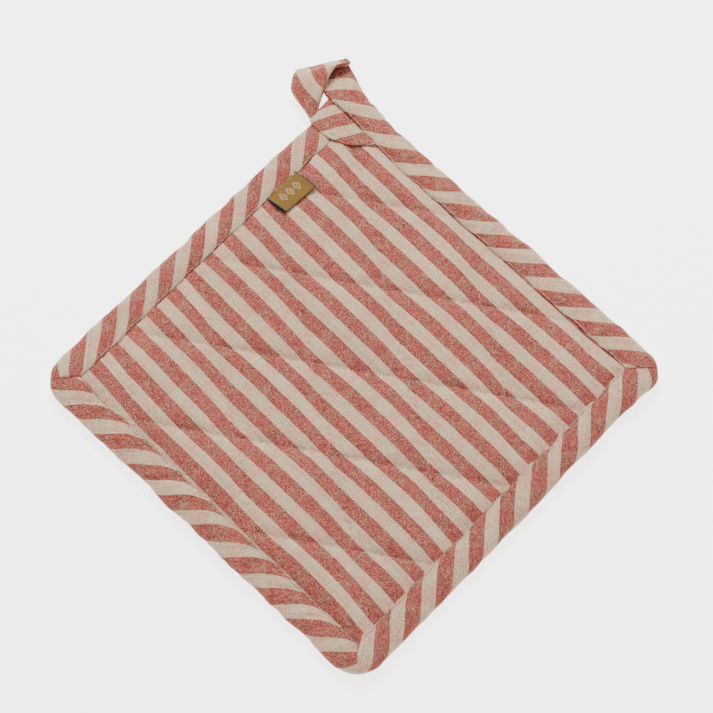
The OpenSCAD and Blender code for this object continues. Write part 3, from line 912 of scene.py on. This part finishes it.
# the same small waves as on the sides, along the section's own normal
prev, nxt = np.roll(pos, 1, 1), np.roll(pos, -1, 1)
prev[:, 0], nxt[:, -1] = pos[:, 0], pos[:, -1]
across = nxt - prev
lengthwise = np.gradient(pos, axis=0)
nn = np.cross(lengthwise, across)
nn /= np.maximum(np.linalg.norm(nn, axis=-1, keepdims=True), 1e-9)
open_part = np.ones(len(SEC))
open_part[:PARTS[0]] = 0
open_part[-PARTS[4]:] = 0
low = slice(sum(PARTS[:3]), sum(PARTS[:4]))
amp = np.tile(open_part, (len(pos), 1))
amp[:, low] = 0.22 + 0.4 * flatness[:, None]
amp *= (1 - 0.45 * flatness[:, None])
sign = -1.0
loop_xyz = pos + sign * nn * (wave * amp)[..., None]
loop_xyz[..., 2] = np.maximum(loop_xyz[..., 2], 0.02)
loop_uv = bias_uv("right", s_here, t_here, run_here)

# the straight part of the right side, from the +X -Y mitre up to the first station
frac_top = 62.0 / HALF
fr_right = np.concatenate([-np.linspace(frac_top, 1.0, 10)[:0], np.linspace(-frac_top, 1, 200)])
side_xyz, side_uv = side_strip("right", fr_right, 230, (0.0, 0.42), (0.0, 0.0))
# it travels down; the loop's rows travel up
side_xyz, side_uv = side_xyz[::-1], side_uv[::-1]
n_join = 14
w = smooth(0, 1, np.linspace(0, 1, n_join))[:, None, None]
# ease the last rows of the straight part onto the first station
delta = loop_xyz[0] - side_xyz[-1]
side_xyz[-n_join:] += w * delta[None]
duv = loop_uv[0] - side_uv[-1]
side_uv[-n_join:] += w[..., :1] * duv[None]
strip_xyz = np.concatenate([side_xyz, loop_xyz[1:]], 0)
strip_uv = np.concatenate([side_uv, loop_uv[1:]], 0)
loop = make("side_strip_and_loop", strip_xyz.reshape(-1, 3), grid_faces(*strip_xyz.shape[:2], flip=True), BIAS, uv=strip_uv.reshape(-1, 2))


# ---------------------------------------------------------------- topstitching
def column_at(grid, t):
    i = int(np.argmin(abs(SEC_T[:sum(PARTS[:3])] - t)))
    return grid[:, i]


def rows_on(line, pitch, up, bow, jitter=0.05, seed=5):
    along = np.concatenate([[0], np.cumsum(np.linalg.norm(np.diff(line, axis=0), axis=1))])
    at = np.arange(0.4, along[-1] - pitch, pitch)
    p = np.stack([np.interp(at, along, line[:, k]) for k in range(3)], 1)
    r = np.random.default_rng(seed)
    out = []
    for a, b in zip(p[:-1], p[1:]):
        d = (b - a) / np.linalg.norm(b - a)
        off = np.cross(d, up) * r.normal(0, jitter)
        out.append((a + d * 0.10 + off, b - d * 0.10 + off, up, bow))
    return out


UP, DOWN = np.array([0, 0, 1.0]), np.array([0, 0, -1.0])
top_rows, under_rows = [], []
i_top = int(np.argmin(abs(SEC_T[:sum(PARTS[:2])] - 1.2)))
under_t = SEC_T[sum(PARTS[:4]) - 1] - 1.2
i_low = int(np.argmin(abs(SEC_T - under_t)))
for k, g in enumerate((SIDES["left"][0], SIDES["bottom"][0], SIDES["top"][0], strip_xyz)):
    if k == 2:
        g = g[g[:, i_top, 0] < 73.5]
    elif k == 3:
        g = g[:np.argmax(g[:, i_top, 1] > 97.5)]
    inside = np.maximum(abs(g[:, i_top, 0]), abs(g[:, i_top, 1]))
    keep_rows = (abs(g[:, i_top, 0]) < 88.2) & (abs(g[:, i_top, 1]) < 88.2) if k < 3 else np.ones(len(g), bool)
    line = g[keep_rows][:, i_top]
    top_rows += rows_on(line + UP * 0.02, TOP_PITCH, UP, 0.14, seed=50 + k)
    keep_low = (abs(g[:, i_low, 0]) < 88.2) & (abs(g[:, i_low, 1]) < 88.2) if k < 3 else g[:, i_low, 1] < 88
    under_rows += rows_on(g[keep_low][:, i_low], TOP_PITCH, DOWN, 0.03, seed=60 + k)
topstitch = stitches("binding_stitches_front", top_rows, 0.15)
topstitch_under = stitches("binding_stitches_back", under_rows, 0.14)


def on_flap(x, y):
    """The flap's height near a point."""
    g = fl.reshape(-1, 3)
    near = (g[:, 0] - x) ** 2 + (g[:, 1] - y) ** 2
    k = np.argsort(near)[:6]
    return float(g[k, 2].max())


tack_rows = []
for x0, y0, x1, y1 in ((77.0, 91.6, 79.5, 92.6), (80.4, 90.4, 82.8, 91.5), (84.0, 92.6, 86.4, 93.4), (76.4, 88.4, 77.2, 86.0), (77.5, 85.0, 78.3, 82.7), (79.0, 81.6, 80.5, 79.5), (81.5, 78.4, 83.1, 76.5)):
    tack_rows.append((np.array([x0, y0, on_flap(x0, y0)]), np.array([x1, y1, on_flap(x1, y1)]), UP, 0.16))
tacks = stitches("loop_tack_threads", tack_rows, 0.16)


# ---------------------------------------------------------------- the side label
def label():
    """Folded ribbon: the upper layer, the fold at the free end and the lower layer."""
    w0, w1 = 0.0, 19.2
    cols, n = 49, 40
    xs = np.linspace(w0, w1, cols)
    # across the length: y from the seam (0) to the fold (12.4) and back
    path = even([[-3.0, -0.12], [0.0, 0.42], [3.0, 0.92], [6.5, 1.16], [10.0, 1.24], [11.9, 1.22], [12.38, 0.95], [12.3, 0.58],
                 [11.4, 0.42], [8.0, 0.36], [4.0, 0.30], [0.0, 0.10], [-3.0, -0.35]], 2 * n)
    g, uv = [], []
    run = np.concatenate([[0], np.cumsum(np.linalg.norm(np.diff(path, axis=0), axis=1))])
    lower = (run / run[-1]) > 0.55
    for k, (yy, hh) in enumerate(path):
        a = yy / 12.4
        # corners: the sewn edge from (32.9, 87.3) to (52.1, 86.9), the fold from (33.6, 75.2) to (52.4, 74.4)
        shift = np.array([0.35, -0.28]) if lower[k] else np.array([0.0, 0.0])
        left = np.array([32.9, 87.0]) * (1 - a) + np.array([33.7, 75.0]) * a
        right = np.array([52.1, 86.7]) * (1 - a) + np.array([52.5, 74.2]) * a
        if lower[k]:                         # the under layer peeps out at one side
            left = left + np.array([-0.55, -0.15]) * np.clip(a, 0, 1)
        row = []
        for x in xs:
            fx = (x - w0) / (w1 - w0)
            p = left * (1 - fx) + right * fx
            curl = 0.30 * math.exp(-((fx - 0.0) / 0.16) ** 2) * np.clip(a, 0, 1) + 0.10 * math.exp(-((fx - 1.0) / 0.1) ** 2) * np.clip(a, 0, 1)
            row.append((p[0], p[1], hh, curl))
            uv.append((x, yy if not lower[k] else yy + 0.13))
        g.append(row)
    g, uv = np.array(g), np.array(uv)
    ground = front_z(g[..., 0].ravel(), np.minimum(g[..., 1], 85.2).ravel()).reshape(g.shape[:2])
    # the ribbon bridges the puffs: take the smooth upper envelope along its length
    base = np.maximum(ground, 7.0)
    for _ in range(14):
        base[:, 1:-1] = np.maximum(base[:, 1:-1], (base[:, :-2] + base[:, 2:]) / 2)
    plane_y = g[..., 1]
    lift = np.where(plane_y > 85.6, 0.0, 1.0)
    ramp = 6.9 + (86.0 - np.minimum(plane_y, 86.0)) * 0.165
    floor_z = np.maximum(ramp, base.max() * 0 + np.maximum(base, ramp) * lift + ramp * (1 - lift))
    for _ in range(10):
        floor_z[1:-1] = (floor_z[:-2] + floor_z[1:-1] * 2 + floor_z[2:]) / 4
        floor_z[:, 1:-1] = (floor_z[:, :-2] + floor_z[:, 1:-1] * 2 + floor_z[:, 2:]) / 4
    z = floor_z + 0.05 + g[..., 2] * 0.9 + g[..., 3] * np.where(lower[:, None], 0.2, 1.0)
    z = np.where(g[..., 1] > 86.4, np.minimum(z, 7.05 + 0.1 * g[..., 2]), z)
    xyz = np.stack([g[..., 0], g[..., 1], z], -1)
    return xyz, uv.reshape(-1, 2)


lab_xyz, lab_uv = label()
tag = make("side_label_ribbon", lab_xyz.reshape(-1, 3), grid_faces(*lab_xyz.shape[:2], flip=True), RIBBON, uv=lab_uv)
sol = tag.modifiers.new("thick", "SOLIDIFY")
sol.thickness, sol.offset = 0.00022, 0.0
baked(tag)

# ---------------------------------------------------------------- bodies, and the CAD parts each piece replaces
for piece, nodes, slot in (
    (front_cloth, ["front_panel"], "striped_cotton"),
    (back_cloth, ["back_panel"], "striped_cotton"),
    (front_fill, ["front_wadding"], "wadding"),
    (back_fill, ["back_wadding"], "wadding"),
    (binding, ["edge_binding"], "bias_binding"),
    (quilt_top, ["quilting_needle_thread"], "sewing_thread"),
    (quilt_under, ["quilting_bobbin_thread"], "sewing_thread"),
    (topstitch, ["binding_needle_thread"], "sewing_thread"),
    (topstitch_under, ["binding_bobbin_thread"], "sewing_thread"),
    (tacks, ["loop_tack_stitches"], "sewing_thread"),
):
    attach(piece, "pad")
    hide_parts(*nodes)
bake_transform(loop)
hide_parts("hanging_loop")
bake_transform(tag)
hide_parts("side_label")


# ---------------------------------------------------------------- floor, light and camera
def floor():
    m = Tree("pale_table")
    n = m.t.nodes.new("ShaderNodeTexCoord")
    soft = m.noise(n.outputs["Object"], 3.0, 2.0)
    m.put(m.bsdf.inputs["Base Color"], m.mix(soft, (0.90, 0.90, 0.90), (0.92, 0.92, 0.92)))
    m.bsdf.inputs["Emission Color"].default_value = (1.0, 1.0, 1.0, 1.0)
    m.bsdf.inputs["Emission Strength"].default_value = 3.0
    m.bsdf.inputs["Roughness"].default_value = 0.9
    m.bsdf.inputs["Specular IOR Level"].default_value = 0.1
    r = 3.0
    v = [(-r, -r, 0), (r, -r, 0), (r, r, 0), (-r, r, 0)]
    ob = make("table", np.array(v) / MM + np.array([0, 0, -0.12]), [(0, 1, 2, 3)], m.mat, is_smooth=False)
    return ob


floor()


def area(name, loc, size, power, colour=(1, 1, 1), target=(0, 0, 0.005)):
    l = bpy.data.lights.new(name, "AREA")
    l.energy, l.size, l.color = power, size, colour
    ob = bpy.data.objects.new(name, l)
    ob.location = loc
    ob.rotation_euler = (Vector(target) - Vector(loc)).to_track_quat("-Z", "Y").to_euler()
    bpy.context.scene.collection.objects.link(ob)
    return ob


area("key", (1.05, 1.15, 1.50), 0.8, 78, (1.0, 0.99, 0.975))
area("fill", (-1.3, -0.5, 1.1), 1.6, 5, (0.97, 0.985, 1.0))
area("above", (0.2, 0.1, 2.2), 1.8, 12)

world = bpy.data.worlds.new("studio")
bpy.context.scene.world = world
world.use_nodes = True
bg = world.node_tree.nodes["Background"]
bg.inputs[0].default_value = (1.0, 1.0, 1.0, 1)
bg.inputs[1].default_value = 0.50

CAM = {"az": 44.7595, "el": 71.1632, "roll": -0.7399, "d": 0.99667, "f": 2217.415, "target": (0.00748, 0.00486, 0.004)}
az, el, roll = (math.radians(CAM[k]) for k in ("az", "el", "roll"))
look = Vector((math.cos(az) * math.cos(el), math.sin(az) * math.cos(el), -math.sin(el)))
right = look.cross(Vector((0, 0, 1))).normalized()
up = right.cross(look)
r2, u2 = math.cos(roll) * right + math.sin(roll) * up, -math.sin(roll) * right + math.cos(roll) * up
cam = bpy.data.cameras.new("camera")
cam.sensor_width, cam.lens = 36.0, CAM["f"] * 36.0 / 713.0
cam.clip_start, cam.clip_end = 0.02, 20.0
cam_ob = bpy.data.objects.new("camera", cam)
place = Vector(CAM["target"]) - look * CAM["d"]
cam_ob.matrix_world = Matrix(((r2.x, u2.x, -look.x, place.x), (r2.y, u2.y, -look.y, place.y), (r2.z, u2.z, -look.z, place.z), (0, 0, 0, 1)))
bpy.context.scene.collection.objects.link(cam_ob)
bpy.context.scene.camera = cam_ob
